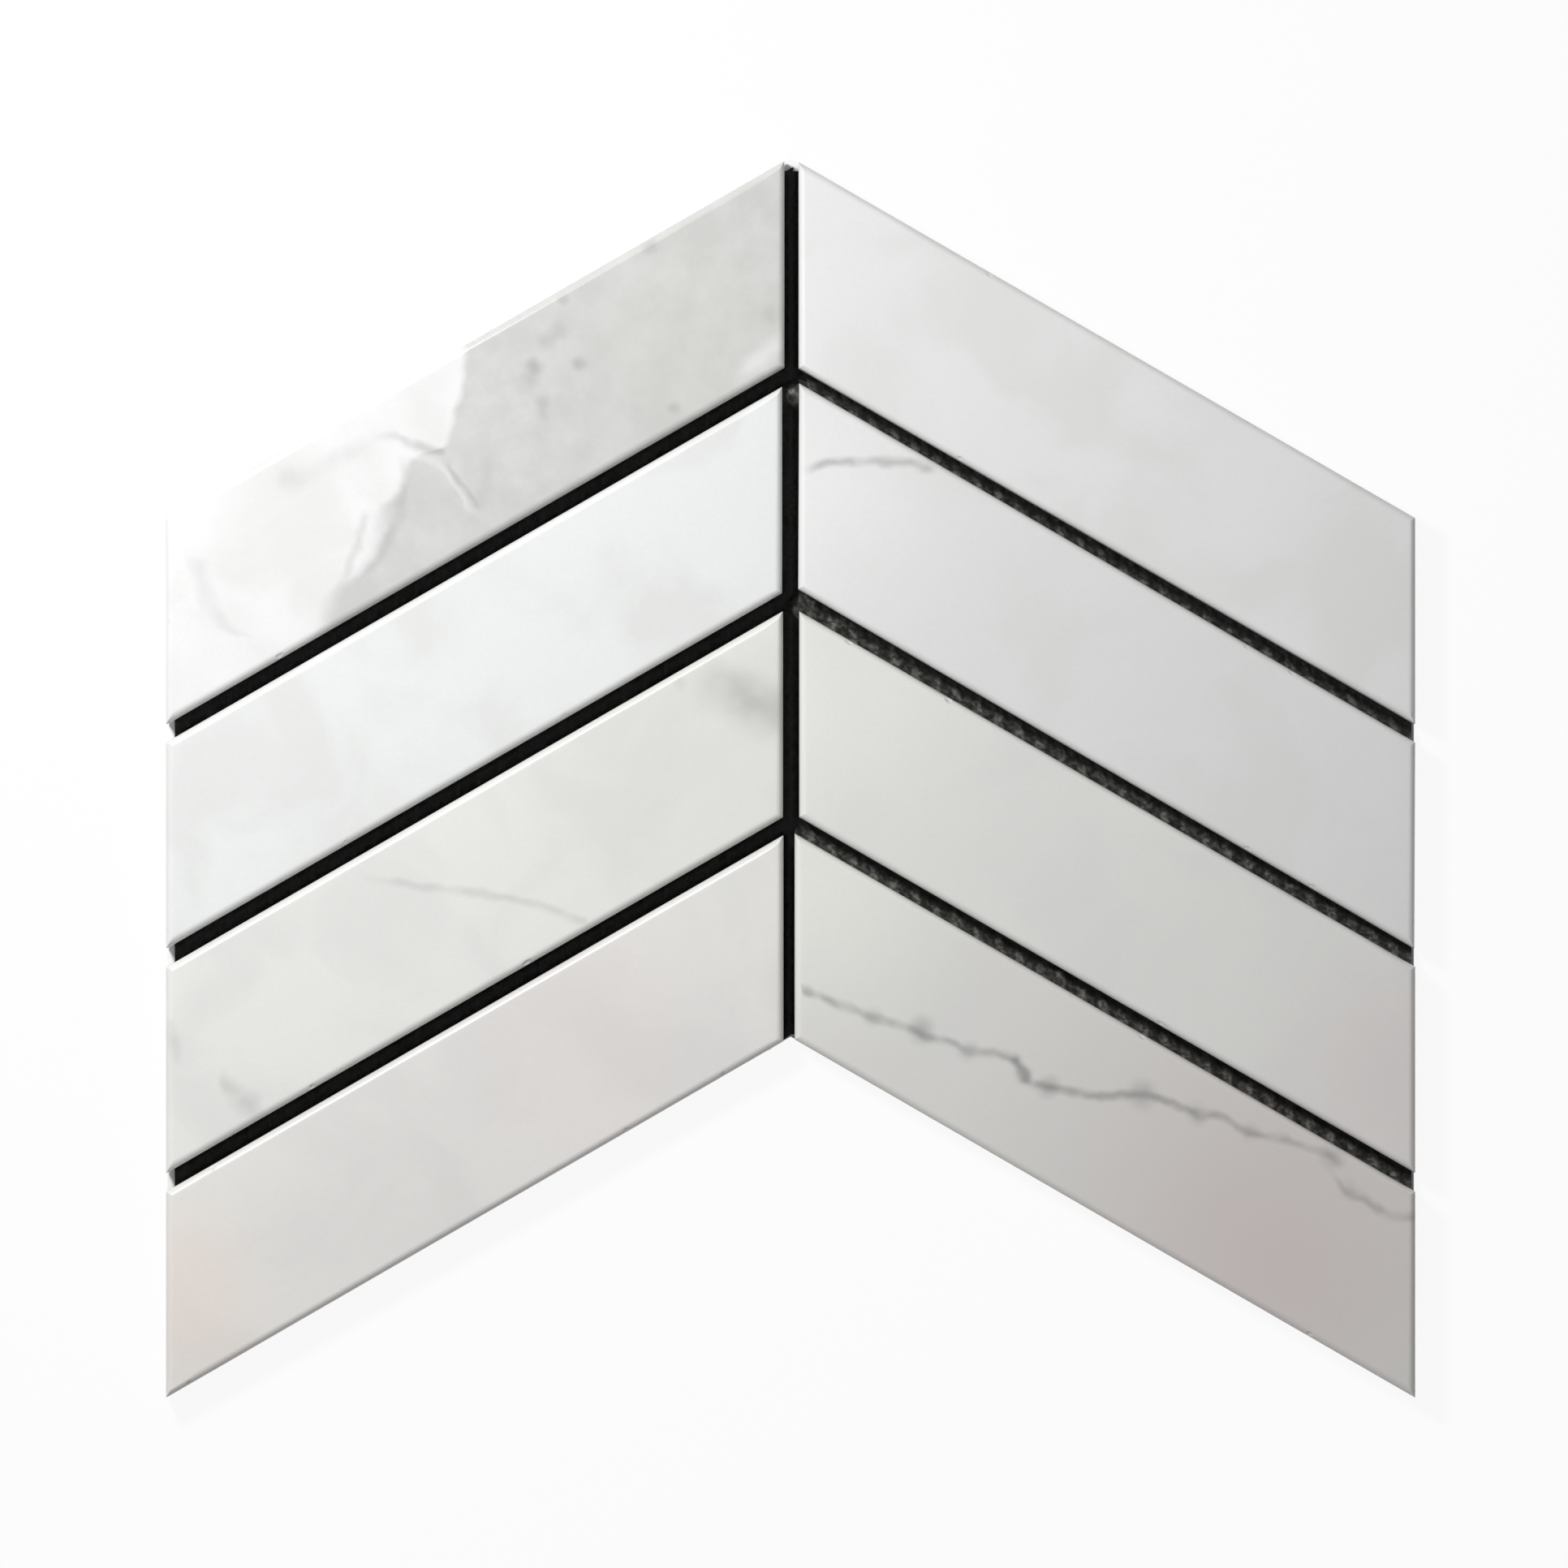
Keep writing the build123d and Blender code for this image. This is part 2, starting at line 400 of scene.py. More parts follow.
def stone_colour(tree, chip, settings, place, own_place):
    """Colour of one chip's stone all through: soft clouds, and over them tints, veins and inclusions."""
    drift = new_node(tree, "TexNoise", {"Vector": place, "Scale": 1 / VEIN_BEND, "Detail": 1.0})
    drift = new_node(tree, "VectorMath", [drift.outputs["Color"], (0.5, 0.5, 0.5)], operation="SUBTRACT")
    strayed = new_node(tree, "VectorMath", [drift, (settings.vein_stray / MM,) * 3, place],
                       operation="MULTIPLY_ADD")
    patches = new_node(tree, "TexNoise", {"Vector": own_place, "Scale": 1 / VEIN_PATCH, "Detail": 1.0})
    patches = new_node(tree, "MapRange", [patches, 0.32, 0.6, 0.55, 1.0], interpolation_type="SMOOTHSTEP")
    clouds = new_node(tree, "TexNoise", {
        "Vector": own_place, "Scale": MM / settings.cloud_size, "Detail": 3.0, "Distortion": 0.5})
    clouds = new_node(tree, "MapRange", [clouds, 0.4, 0.66, 0.0, settings.cloud_depth],
                      interpolation_type="SMOOTHSTEP")
    layers = [(clouds, settings.cloud)]
    if chip == "left_1":
        layers.append((grey_cloud(tree, place, strayed), settings.grey_cloud))
    for x, y, radius, depth, tint in TINTS.get(chip, []):
        layers.append((spot_strength(tree, strayed, x, y, radius, depth), linear(tint)))
    for mark in MARKS.get(chip, []):
        line = {name: value for name, value in mark.items() if name != "light"}
        tone = linear(GROUND_AND_PAINTED_SHADE[chip]) if mark.get("light") else settings.vein
        layers.append((mark_strength(tree, strayed, patches, **line), tone))
    for spot in SPOTS.get(chip, []):
        layers.append((spot_strength(tree, strayed, *spot), settings.vein))
    # The ground colour carries painted shade: the lower right chips are drawn darker than the upper left ones
    colour = linear(GROUND_AND_PAINTED_SHADE[chip])
    for share, tone in layers:
        colour = new_node(tree, "Mix", {"Factor": share, "A": colour, "B": tone}, data_type="RGBA")
    return colour


def polished_marble(chip, settings, seed):
    """White marble, sawn from a slab, polished on the face and honed on the arris.

    The eye gets a smooth bright face with soft clouds, fine crystals and veins that run down through the
    stone, a duller arris, and matt sides with the blade's marks.
    """
    material, tree = new_material(f"polished_marble_{chip}")
    place = millimetres(tree)
    own_place = millimetres(tree, tuple(step * seed for step in SLAB_STEP))
    colour = stone_colour(tree, chip, settings, place, own_place)
    crystals = new_node(tree, "TexNoise", {
        "Vector": own_place, "Scale": MM / settings.crystal_size, "Detail": 2.0, "Roughness": 0.6})
    glint = new_node(tree, "MapRange", [crystals, 0.35, 0.65, 0.0, 0.05], interpolation_type="SMOOTHSTEP")
    colour = new_node(tree, "Mix", {"Factor": glint, "A": colour, "B": linear("#C8C8C6")}, data_type="RGBA")

    height = new_node(tree, "SeparateXYZ", {"Vector": place}).outputs["Z"]
    top = FACE_HEIGHT / MM
    sawn, honed = (
        new_node(tree, "MapRange", [height, top - full, top - start, 1.0, 0.0],
                 interpolation_type="SMOOTHSTEP")
        for start, full in (SAWN, HONED))
    # The honed arris is drawn a quarter of the way to a darker grey than the face
    darker_arris = new_node(tree, "Math", [honed, 0.25], operation="MULTIPLY")
    colour = new_node(tree, "Mix", {"Factor": darker_arris, "A": colour, "B": linear("#D6D5D0")}, data_type="RGBA")
    rough = new_node(tree, "MapRange", [crystals, 0.3, 0.7, 0.16, 0.22])
    rough = new_node(tree, "Math", [honed, 0.2, rough], operation="MULTIPLY_ADD")
    rough = new_node(tree, "Math", [sawn, 0.25, rough], operation="MULTIPLY_ADD")
    # A wave texture's bands lie pi / 10 / scale apart, here about 1 mm, as the marks of a saw's blade do
    blade = new_node(tree, "TexWave", {
        "Vector": place, "Scale": 0.3, "Distortion": 6.0, "Detail": 3.0, "Detail Scale": 0.3},
        bands_direction="Z")
    relief = new_node(tree, "Math", [blade.outputs["Fac"], crystals], operation="ADD")
    relief = new_node(tree, "Math", [relief, sawn], operation="MULTIPLY")
    bump = new_node(tree, "Bump", {"Height": relief, "Distance": 0.05 * MM, "Strength": 0.4})
    shader = new_node(tree, "BsdfPrincipled", {
        "Base Color": colour, "Roughness": rough, "Normal": bump, "IOR": 1.5,
        "Subsurface Weight": 0.12, "Subsurface Radius": (1.0, 0.95, 0.9), "Subsurface Scale": 1.5 * MM})
    new_node(tree, "OutputMaterial", {"Surface": shader})
    return material


# Sizes on the backing, in millimetres: twist of a strand, grain of the cured skin, height over which the dust
# comes in, and where it starts to thin out and is thin, from the middle of a strand
STRAND_TWIST = 0.5
SKIN_GRAIN = 1.2
DUST_RISE = 1.5
DUST_THINS = (0.5, 1.5)


def coated_glass_fibre(settings):
    """Glass-fibre yarn in a dark size coat, woven and cured.

    The eye gets dull dark grey strands with a fine twist. The real twist is finer and is drawn half a
    millimetre coarse, so that it shows.
    """
    material, tree = new_material("coated_glass_fibre")
    place = millimetres(tree)
    tufts = new_node(tree, "TexNoise", {"Vector": place, "Scale": 1 / STRAND_TWIST, "Detail": 3.0})
    share = new_node(tree, "MapRange", [tufts, 0.4, 0.7, 0.0, 0.5])
    colour = new_node(tree, "Mix", {"Factor": share, "A": settings.strand, "B": linear("#2A2A29")},
                      data_type="RGBA")
    bump = new_node(tree, "Bump", {"Height": tufts, "Distance": 0.1 * MM, "Strength": 0.8})
    shader = new_node(tree, "BsdfPrincipled", {
        "Base Color": colour, "Roughness": 0.55, "Normal": bump, "Specular IOR Level": 0.15})
    new_node(tree, "OutputMaterial", {"Surface": shader})
    return material


def cured_adhesive(settings):
    """Black tile-mesh adhesive, rolled on wet and cured.

    The eye gets a black skin with a soft shine, small lumps, and pale stone dust where it stands up in a
    joint, thickest over each strand of the net. The real dust is finer and is drawn in 1 mm specks, so that
    it shows.
    """
    material, tree = new_material("cured_adhesive")
    place = millimetres(tree)
    lumps = new_node(tree, "TexNoise", {
        "Vector": place, "Scale": 1 / SKIN_GRAIN, "Detail": 4.0, "Roughness": 0.6})
    skin = new_node(tree, "MapRange", [lumps, 0.45, 0.75, 0.0, 0.3])
    colour = new_node(tree, "Mix", {"Factor": skin, "A": settings.adhesive, "B": linear("#343433")},
                      data_type="RGBA")
    specks = new_node(tree, "TexNoise", {
        "Vector": place, "Scale": MM / settings.speck_size, "Detail": 2.0, "Roughness": 0.5})
    specks = new_node(tree, "MapRange", [specks, 0.4, 0.64, 0.3, 1.0], interpolation_type="SMOOTHSTEP")
    parts = new_node(tree, "SeparateXYZ", {"Vector": place}).outputs
    low = settings.dusty_from / MM
    raised = new_node(tree, "MapRange", [parts["Z"], low, low + DUST_RISE], interpolation_type="SMOOTHSTEP")
    dust = new_node(tree, "Math", [specks, raised], operation="MULTIPLY")
    off_strand = new_node(tree, "Math", [parts["X"], settings.print_pitch / MM / 2], operation="PINGPONG")
    over_strand = new_node(tree, "MapRange", [off_strand, *DUST_THINS, 1.0, 0.4],
                           interpolation_type="SMOOTHSTEP")
    dust = new_node(tree, "Math", [dust, over_strand], operation="MULTIPLY")
    colour = new_node(tree, "Mix", {"Factor": dust, "A": colour, "B": settings.dust}, data_type="RGBA")
    bump = new_node(tree, "Bump", {"Height": lumps, "Distance": 0.25 * MM, "Strength": 0.7})
    shader = new_node(tree, "BsdfPrincipled", {
        "Base Color": colour, "Roughness": 0.5, "Normal": bump, "Specular IOR Level": 0.15})
    new_node(tree, "OutputMaterial", {"Surface": shader})
    return material


def start_clean():
    """Leaves edit mode and lets go of everything, so that an operator acts on the new piece alone."""
    if bpy.context.object and bpy.context.object.mode != "OBJECT":
        bpy.ops.object.mode_set(mode="OBJECT")
    bpy.ops.object.select_all(action="DESELECT")


def only(piece):
    """Makes piece the one selected object."""
    start_clean()
    piece.select_set(True)
    bpy.context.view_layer.objects.active = piece


def edit_all(piece):
    """Opens the piece in edit mode, all of it selected."""
    only(piece)
    bpy.ops.object.mode_set(mode="EDIT")
    bpy.ops.mesh.select_all(action="SELECT")


def join(pieces):
    """Joins the pieces into the first of them."""
    start_clean()
    for piece in pieces:
        piece.select_set(True)
    bpy.context.view_layer.objects.active = pieces[0]
    bpy.ops.object.join()
    return pieces[0]


def name_piece(name):
    """Names the object just made and its mesh, lamp or camera data."""
    piece = bpy.context.object
    piece.name = name
    piece.data.name = name
    return piece


def rest_at_origin(piece):
    """Puts the piece's place and size into its mesh."""
    only(piece)
    bpy.ops.object.transform_apply(location=True, rotation=True, scale=True)


def apply_modifier(piece, kind, **settings):
    """Adds a modifier with these settings and applies it."""
    only(piece)
    modifier = piece.modifiers.new(kind.title(), kind)
    for name, value in settings.items():
        setattr(modifier, name, value)
    bpy.ops.object.modifier_apply(modifier=modifier.name)


def select_corners(piece, test):
    """In edit mode, selects the corners that pass the test, with the edges and faces between them."""
    mesh = bmesh.from_edit_mesh(piece.data)
    bpy.ops.mesh.select_all(action="DESELECT")
    for corner in mesh.verts:
        corner.select = test(corner)
    mesh.select_flush(True)
    bmesh.update_edit_mesh(piece.data)


def select_faces(piece, test):
    """In edit mode, selects the faces that pass the test."""
    mesh = bmesh.from_edit_mesh(piece.data)
    bpy.ops.mesh.select_all(action="DESELECT")
    for face in mesh.faces:
        if test(face):
            face.select_set(True)
    bmesh.update_edit_mesh(piece.data)


def dress(piece, material):
    """Gives the piece this material alone."""
    piece.data.materials.clear()
    piece.data.materials.append(material)


def finish_piece(piece, material, replaced):
    """Gives the piece its material and body, and hides the CAD nodes that it stands for."""
    rest_at_origin(piece)
    dress(piece, material)
    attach(piece, BODY)
    if replaced:
        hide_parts(*replaced)


def foot_corners(node):
    """The corners of a CAD chip's foot, keyed by end and side: (-1 left or 1 right, -1 low or 1 high)."""
    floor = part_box(node)[0].z
    places = [v.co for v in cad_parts[node].data.vertices if v.co.z < floor + LEVEL]
    corners = {}
    for end in (-1, 1):
        limit = max(end * place.x for place in places)
        at_end = [place for place in places if end * place.x > limit - END]
        for side in (-1, 1):
            corners[end, side] = max(at_end, key=lambda place: side * place.y).copy()
    return corners


def arris_of(node):
    """Height of the bevel round a CAD chip's polished face."""
    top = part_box(node)[1].z
    levels = [v.co.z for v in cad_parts[node].data.vertices if v.co.z < top - LEVEL]
    return top - max(levels)


def soft_wave(size):
    """Smooth noise for modifiers, its waves about size long."""
    texture = bpy.data.textures.new("soft_wave", "CLOUDS")
    texture.noise_scale = size
    texture.noise_depth = 2
    return texture


# How a chip is worked: steps across the eased arris, the small round on its other edges, the size of a
# sliver that is cleared away after the flakes, and the least share of the stone that they leave
ARRIS_STEPS = 4
EDGE_ROUND = 0.12 * MM
SLIVER = 0.002 * MM
LEAST_LEFT = 0.99

# How flakes fall: the seed of the first chip's, the sides they are drawn from, long ones three times as often
# as ends, and how near to a side's ends they come, as a share of it
FLAKE_SEED = 40
FLAKED_SIDES = (0, 0, 0, 1, 2, 2, 2, 3)
FLAKE_END = 0.03

# How a flake varies: least share of the full depth, roughness of the hollow, greatest stretch along the
# edge, and greatest turn from it in radians
FLAKE_LEAST_DEPTH = 0.5
FLAKE_ROUGHNESS = 0.05
FLAKE_STRETCH = 1.7
FLAKE_TURN = 0.2


def flake_cutter(corners, top, eased, settings, draw):
    """Rough balls strewn along the eased arris, as one mesh that breaks a shallow flake out at each."""
    ring = [corners[-1, -1], corners[1, -1], corners[1, 1], corners[-1, 1]]
    worn_off = eased * (math.sqrt(2) - 1)
    balls = []
    for _ in range(settings.flake_count):
        side = draw.choice(FLAKED_SIDES)
        start, end = ring[side], ring[(side + 1) % 4]
        outwards = Vector((end.y - start.y, start.x - end.x, 0)).normalized()
        depth = settings.flake_depth * draw.uniform(FLAKE_LEAST_DEPTH, 1.0)
        away = (settings.flake_radius - worn_off - depth) / math.sqrt(2)
        place = start.lerp(end, draw.uniform(FLAKE_END, 1 - FLAKE_END)) + outwards * away
        bpy.ops.mesh.primitive_ico_sphere_add(
            subdivisions=3, radius=settings.flake_radius, location=(place.x, place.y, top + away))
        ball = bpy.context.object
        for corner in ball.data.vertices:
            corner.co *= draw.uniform(1 - FLAKE_ROUGHNESS, 1.0)
        ball.scale.x = draw.uniform(1.0, FLAKE_STRETCH)
        turn = math.atan2(end.y - start.y, end.x - start.x)
        ball.rotation_euler.z = turn + draw.uniform(-FLAKE_TURN, FLAKE_TURN)
        balls.append(ball)
    return join(balls)


def volume_of(piece):
    """Volume of a closed piece, in cubic metres."""
    mesh = bmesh.new()
    mesh.from_mesh(piece.data)
    volume = mesh.calc_volume()
    mesh.free()
    return volume


def slanted_slab(node, corners):
    """A block over the CAD chip's box, its upright edges slid to the corners of the chip's foot.

    It is left open in edit mode.
    """
    low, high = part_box(node)
    middle = (low + high) / 2
    start_clean()
    bpy.ops.mesh.primitive_cube_add(size=1, location=middle, scale=high - low)
    chip = name_piece(f"{node}_stone")
    rest_at_origin(chip)
    uprights = {}
    for corner in chip.data.vertices:
        quarter = (1 if corner.co.x > middle.x else -1, 1 if corner.co.y > middle.y else -1)
        uprights.setdefault(quarter, []).append(corner.index)
    steps = {quarter: corners[quarter] - chip.data.vertices[indices[0]].co
             for quarter, indices in uprights.items()}
    bpy.ops.object.mode_set(mode="EDIT")
    for quarter, indices in uprights.items():
        select_corners(chip, lambda corner: corner.index in indices)
        bpy.ops.transform.translate(value=(steps[quarter].x, steps[quarter].y, 0))
    return chip


def wave_arris(chip, top, eased, settings):
    """Lets the arris wander: sideways where it meets the face, up and down where it meets the sides."""
    face_line, side_line = (chip.vertex_groups.new(name=name) for name in ("face_line", "side_line"))
    for corner in chip.data.vertices:
        if corner.co.z > top - eased - LEVEL:
            share = (corner.co.z - top + eased) / eased
            face_line.add([corner.index], max(share, 0), "REPLACE")
            side_line.add([corner.index], 1 - min(share, 1), "REPLACE")
    wave = soft_wave(settings.wave_length / 2)
    for group, direction in (("face_line", "X"), ("face_line", "Y"), ("side_line", "Z")):
        apply_modifier(chip, "DISPLACE", texture=wave, texture_coords="LOCAL", direction=direction,
                       strength=settings.wave_depth, mid_level=0.5, vertex_group=group)


def shape_chip(node, settings, draw):
    """One marble chip over its CAD node: a slanted slab, its arris eased, waved and slightly flaked.

    The eased round takes away as much stone as the flat bevel of the CAD.
    """
    low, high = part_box(node)
    corners = foot_corners(node)
    eased = arris_of(node) * math.sqrt(0.5 / (1 - math.pi / 4))
    chip = slanted_slab(node, corners)
    select_corners(chip, lambda corner: corner.co.z > (low.z + high.z) / 2)
    bpy.ops.mesh.select_mode(type="EDGE")
    bpy.ops.mesh.bevel(offset=eased, segments=ARRIS_STEPS, affect="EDGES")
    bpy.ops.mesh.select_mode(type="VERT")
    cuts = int((high.x - low.x) / (settings.wave_length / 2))
    for number in range(1, cuts):
        bpy.ops.mesh.select_all(action="SELECT")
        at = low.x + (high.x - low.x) * number / cuts
        bpy.ops.mesh.bisect(plane_co=(at, 0, 0), plane_no=(1, 0, 0))
    bpy.ops.object.mode_set(mode="OBJECT")
    wave_arris(chip, high.z, eased, settings)
    apply_modifier(chip, "BEVEL", width=EDGE_ROUND, segments=2, limit_method="ANGLE",
                   angle_limit=math.radians(30), harden_normals=False)
    if settings.flake_count:
        cutter = flake_cutter(corners, high.z, eased, settings, draw)
        whole = volume_of(chip)
        apply_modifier(chip, "BOOLEAN", object=cutter, operation="DIFFERENCE", solver="EXACT", use_self=True)
        bpy.data.objects.remove(cutter)
        if volume_of(chip) < LEAST_LEFT * whole:
            raise RuntimeError(f"{chip.name}: the flakes took too much of the chip away")
    edit_all(chip)
    bpy.ops.mesh.dissolve_degenerate(threshold=SLIVER)
    bpy.ops.object.mode_set(mode="OBJECT")
    bpy.ops.object.shade_smooth_by_angle(angle=math.radians(35))
    apply_modifier(chip, "WEIGHTED_NORMAL", weight=100, keep_sharp=True)
    return chip


class MOSAIC_OT_marble_chips(bpy.types.Operator):
    """Makes the eight marble chips over their CAD nodes"""

    bl_idname = "mosaic.marble_chips"
    bl_label = "Marble chips"

    def execute(self, context):
        settings = context.scene.mosaic_chips
        for number, node in enumerate(CHIPS):
            chip = shape_chip(node, settings, random.Random(FLAKE_SEED + number))
            marble = polished_marble(node.removeprefix("marble_chip_"), settings, number)
            finish_piece(chip, marble, [node])
        return {"FINISHED"}


# How far the adhesive was squeezed up against the lower chip in each slanted joint, in millimetres, and where
# it stands higher: place on the sheet, radius and height
SQUEEZED = {("right", 1): 1.9, ("right", 2): 3.2, ("right", 3): 2.6}
SQUEEZE_LUMPS = [(1.0, 92.4, 4.4, 2.2), (3.0, 41.5, 4.6, 2.6), (12.0, 36.5, 4.0, 1.0), (38.0, 20.5, 3.0, 0.8),
                 (64.0, -47.5, 3.5, 1.0), (112.0, -76.0, 4.0, 0.8)]

# How far the middle joint's adhesive ends inside the sheet's point and its notch, and how far the adhesive's
# surface lies under the top of the net
POINT_INSET = 1 * MM
NOTCH_INSET = 1.2 * MM
SURFACE_DROP = 0.15 * MM

# Powers that shape the adhesive across a joint: steep at both sides, even where it was squeezed up
CREEP_POWER = 3
SQUEEZE_POWER = 0.9

# Fewest facets along a strip of it and across
FEWEST_FACETS = (2, 4)


def joint_floors():
    """Floor of every joint: its four corners, whether its long sides meet stone, and how far it is raised."""
    feet = {node: foot_corners(node) for node in CHIPS}
    coat_low, coat_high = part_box("adhesive_coat")
    floors = []
    for column, outer, limit in (("left", -1, coat_low.x), ("right", 1, coat_high.x)):
        for row in ROWS[:-1]:
            above = feet[f"marble_chip_{column}_{row}"]
            below = feet[f"marble_chip_{column}_{row + 1}"]
            ends = []
            for corners, side in ((below, 1), (above, -1)):
                far, near = corners[outer, side], corners[-outer, side]
                share = (limit - far.x) / (near.x - far.x)
                ends.append((far.lerp(near, max(share, 0)), near))
            (low_far, low_near), (high_far, high_near) = ends
            rise = SQUEEZED.get((column, row), 0.0) * MM
            floors.append(((low_far, low_near, high_near, high_far), True, rise))
    for row in ROWS:
        left, right = feet[f"marble_chip_left_{row}"], feet[f"marble_chip_right_{row}"]
        top_left, top_right = left[1, 1], right[-1, 1]
        low_left, low_right = left[1, -1], right[-1, -1]
        if row == ROWS[0]:
            peak = coat_high.y - POINT_INSET
            top_left, top_right = (
                Vector((corner.x, min(corner.y, peak), corner.z)) for corner in (top_left, top_right))
        if row == ROWS[-1]:
            low_left, low_right = (
                corner + Vector((0, NOTCH_INSET, 0)) for corner in (low_left, low_right))
        floors.append(((low_left, top_left, top_right, low_right), True, 0.0))
        if row < ROWS[-1]:
            next_left = feet[f"marble_chip_left_{row + 1}"][1, 1]
            next_right = feet[f"marble_chip_right_{row + 1}"][-1, 1]
            floors.append(((next_left, low_left, low_right, next_right), False, 0.0))
    return floors


def squeezed_up(place):
    """Extra height, in metres, of the adhesive at a place where a lump of it was squeezed up."""
    extra = 0.0
    for x, y, radius, height in SQUEEZE_LUMPS:
        away = math.hypot(place.x / MM - x, place.y / MM - y) / radius
        extra += height * MM * max(0.0, 1 - away * away) ** 2
    return extra


def joint_strip(corners, facet, floor, surface):
    """A grid laid between a joint's four corners on the coat and extruded up."""
    first, second, third, fourth = corners
    along, across = (
        max(fewest, round(side.length / facet))
        for fewest, side in zip(FEWEST_FACETS, (second - first, third - second)))
    start_clean()
    bpy.ops.mesh.primitive_grid_add(x_subdivisions=along, y_subdivisions=across, size=1)
    strip = bpy.context.object
    for corner in strip.data.vertices:
        s, t = corner.co.x + 0.5, corner.co.y + 0.5
        place = first.lerp(second, s).lerp(fourth.lerp(third, s), t)
        corner.co = (place.x, place.y, floor)
    edit_all(strip)
    bpy.ops.mesh.normals_make_consistent(inside=False)
    bpy.ops.mesh.extrude_region_move(TRANSFORM_OT_translate={"value": (0, 0, surface - floor)})
    bpy.ops.object.mode_set(mode="OBJECT")
    return strip


def climb_stone(raised, corners, creep, rise):
    """Lifts a strip's raised corners by creep at both long sides, and by rise towards the first of them."""
    first, second, _, fourth = corners
    run = Vector((second.x - first.x, second.y - first.y, 0)).normalized()
    across = Vector((-run.y, run.x, 0))
    base = first.dot(across)
    span = fourth.dot(across) - base
    for corner in raised:
        share = (corner.co.dot(across) - base) / span
        corner.co.z += creep * min(1, abs(2 * share - 1)) ** CREEP_POWER
        corner.co.z += rise * max(0, 1 - share) ** SQUEEZE_POWER


def joint_bed(settings):
    """The adhesive between the chips: strips raised off the coat, lumpy and climbing the stone."""
    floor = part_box("adhesive_coat")[1].z
    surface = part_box("net_warp_strands")[1].z - SURFACE_DROP
    strips = []
    for corners, meets_stone, rise in joint_floors():
        strip = joint_strip(corners, settings.facet, floor, surface)
        raised = [v for v in strip.data.vertices if v.co.z > (surface + floor) / 2]
        strip.vertex_groups.new(name="surface").add([v.index for v in raised], 1.0, "REPLACE")
        if meets_stone:
            climb_stone(raised, corners, settings.creep, rise)
        for corner in raised:
            corner.co.z += squeezed_up(corner.co)
        strips.append(strip)
    join(strips)
    bed = name_piece("joint_adhesive")
    apply_modifier(bed, "DISPLACE", texture=soft_wave(settings.lump), texture_coords="LOCAL", direction="Z",
                   strength=settings.lump_height, mid_level=0.5, vertex_group="surface")
    edit_all(bed)
    bpy.ops.mesh.normals_make_consistent(inside=False)
    bpy.ops.object.mode_set(mode="OBJECT")
    bpy.ops.object.shade_smooth_by_angle(angle=math.radians(60))
    return bed


def coat_outline():
    """Left, middle and right of the coat's chevron in the CAD: for each its x, lowest y and highest y."""
    places = [v.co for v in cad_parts["adhesive_coat"].data.vertices if v.co.z < LEVEL]
    left, right = min(p.x for p in places), max(p.x for p in places)
    outline = []
    for x in (left, (left + right) / 2, right):
        near = [p.y for p in places if abs(p.x - x) < END]
        outline.append((x, min(near), max(near)))
    return outline


def trim(piece, faces_where, corner, other, keep_below):
    """In edit mode, cuts the chosen faces off past the line through two corners."""
    select_faces(piece, faces_where)
    along = Vector((other[0] - corner[0], other[1] - corner[1], 0))
    across = Vector((-along.y, along.x, 0))
    if (across.y > 0) != keep_below:
        across = -across
    bpy.ops.mesh.bisect(plane_co=(*corner, 0), plane_no=across, clear_outer=True)


# Print of the net in the coat's back: the least share of a whole cell that gets a hollow, the most corners
# that such a cell has, the length of the hollows' waves in cells, and their height as a share of the depth
LEAST_CELL = 0.6
MOST_CORNERS = 5
HOLLOW_WAVE = 3
HOLLOW_SWING = 0.8


def coat_skin(settings):
    """The adhesive coat: a chevron of thin sheet, its back printed with the net that lies behind it."""
    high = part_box("adhesive_coat")[1]
    left, middle, right = coat_outline()
    pitch = settings.print_pitch
    cells = 2 * math.ceil(high.x / pitch)
    start_clean()
    bpy.ops.mesh.primitive_grid_add(x_subdivisions=cells, y_subdivisions=cells, size=cells * pitch)
    coat = name_piece("adhesive_coat_skin")
    edit_all(coat)
    bpy.ops.mesh.select_mode(type="FACE")
    bpy.ops.mesh.flip_normals()
    for x, side in ((left[0], -1), (right[0], 1)):
        bpy.ops.mesh.select_all(action="SELECT")
        bpy.ops.mesh.bisect(plane_co=(x, 0, 0), plane_no=(side, 0, 0), clear_outer=True)
    bpy.ops.mesh.select_all(action="SELECT")
    bpy.ops.mesh.bisect(plane_co=(middle[0], 0, 0), plane_no=(1, 0, 0))
    notch, point = (middle[0], middle[1]), (middle[0], middle[2])
    for outer, test in ((left, lambda face: face.calc_center_median().x < middle[0]),
                        (right, lambda face: face.calc_center_median().x > middle[0])):
        trim(coat, test, point, (outer[0], outer[2]), keep_below=True)
        trim(coat, test, notch, (outer[0], outer[1]), keep_below=False)
    select_faces(coat, lambda face: face.calc_area() > LEAST_CELL * pitch ** 2
                 and len(face.verts) <= MOST_CORNERS)
    bpy.ops.mesh.inset(thickness=settings.print_width / 2, depth=-settings.print_depth, use_individual=True)
    bpy.ops.mesh.select_all(action="SELECT")
    bpy.ops.mesh.extrude_region_move(TRANSFORM_OT_translate={"value": (0, 0, high.z)})
    bpy.ops.transform.resize(value=(1, 1, 0), center_override=(0, 0, high.z))
    bpy.ops.mesh.select_all(action="SELECT")
    bpy.ops.mesh.normals_make_consistent(inside=False)
    bpy.ops.object.mode_set(mode="OBJECT")
    hollows = [v.index for v in coat.data.vertices if LEVEL < v.co.z < high.z - LEVEL]
    coat.vertex_groups.new(name="hollows").add(hollows, 1.0, "REPLACE")
    apply_modifier(coat, "DISPLACE", texture=soft_wave(HOLLOW_WAVE * pitch), texture_coords="LOCAL",
                   direction="Z", strength=settings.print_depth * HOLLOW_SWING, mid_level=0.5,
                   vertex_group="hollows")
    only(coat)
    bpy.ops.object.shade_smooth_by_angle(angle=math.radians(30))
    return coat


